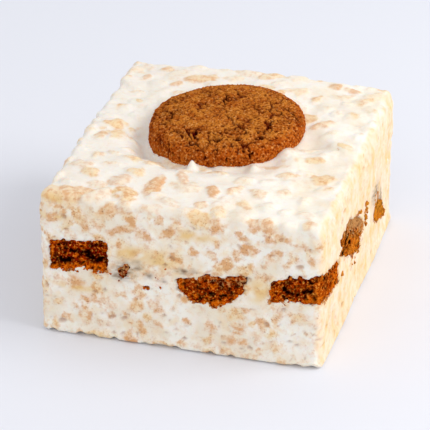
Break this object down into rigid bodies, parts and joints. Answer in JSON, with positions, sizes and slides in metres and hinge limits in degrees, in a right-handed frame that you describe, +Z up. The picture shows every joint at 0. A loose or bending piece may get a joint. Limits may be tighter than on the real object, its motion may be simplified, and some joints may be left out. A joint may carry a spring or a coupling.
{
  "type": "puffed rice marshmallow treat",
  "caption": "Square-cut block of puffed rice in white marshmallow, with a round ginger cookie sunk in its top and cookie pieces showing in its cut sides.",
  "frame": {"origin": "middle of the flat base of the block", "axes": "+Z up out of the cookie on top, +X along the width of the block, -Y out of the cut side that shows best"},
  "size_m": [0.083, 0.09, 0.0493],
  "materials": {
    "marshmallow_rice": "soft satin film of set marshmallow over tan puffed rice",
    "baked_cookie": "dry baked crust with fine cracks",
    "cookie_crumb": "dark open crumb of a cut cookie"
  },
  "bodies": {
    "root": {"marshmallow_rice_block": "marshmallow_rice", "ginger_cookie_top": "baked_cookie", "cookie_slice_front_left": "cookie_crumb", "cookie_slice_front_middle": "cookie_crumb", "cookie_slice_front_right": "cookie_crumb", "cookie_slice_right_middle": "cookie_crumb", "cookie_slice_right_back": "cookie_crumb", "cookie_slice_left": "cookie_crumb", "cookie_slice_back_left": "cookie_crumb", "cookie_slice_back": "cookie_crumb", "cookie_chip_front": "cookie_crumb"}
  },
  "joints": []
}
